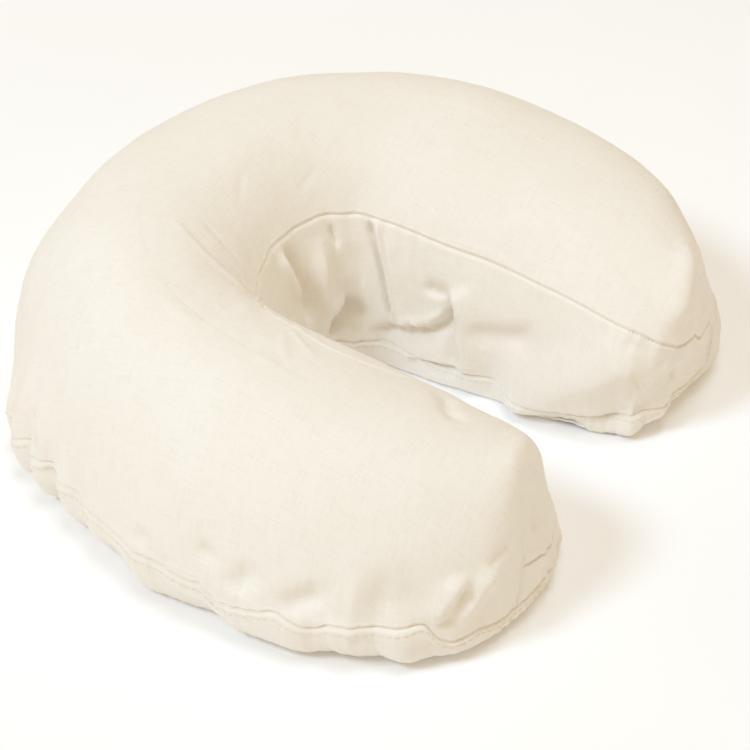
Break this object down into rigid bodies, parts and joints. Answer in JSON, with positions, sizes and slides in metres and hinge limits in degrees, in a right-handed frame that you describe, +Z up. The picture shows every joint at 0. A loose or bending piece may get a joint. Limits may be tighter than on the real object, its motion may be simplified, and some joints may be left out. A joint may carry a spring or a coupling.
{
  "type": "face cradle cushion",
  "caption": "Horseshoe-shaped face cradle cushion: layered foam pad in a sewn jacket, inside a fitted elasticated cotton cover.",
  "frame": {"origin": "middle of the plan outline, on the plane the underside rests on", "axes": "+Z up through the pad's top, -Y out through the open end of the face slot, +Y towards the crown, +X to the right seen from the open end"},
  "size_m": [0.302, 0.2643, 0.102],
  "materials": {
    "cotton": "matt plain-weave cotton, undyed",
    "elastic": "woven elastic",
    "jacket": "coated upholstery fabric, soft satin",
    "base_cloth": "woven base cloth",
    "comfort_foam": "open-cell foam",
    "support_foam": "open-cell foam",
    "loop": "napped loop pile"
  },
  "bodies": {
    "root": {"cover_top_panel": "cotton", "cover_inner_gusset": "cotton", "cover_hem_casing": "cotton", "hem_elastic": "elastic", "jacket_top_panel": "jacket", "jacket_outer_boxing": "jacket", "jacket_inner_boxing": "jacket", "jacket_base_panel": "base_cloth", "foam_comfort_layer": "comfort_foam", "foam_support_core": "support_foam", "loop_strip_crown": "loop", "loop_strip_left": "loop", "loop_strip_right": "loop"}
  },
  "joints": []
}
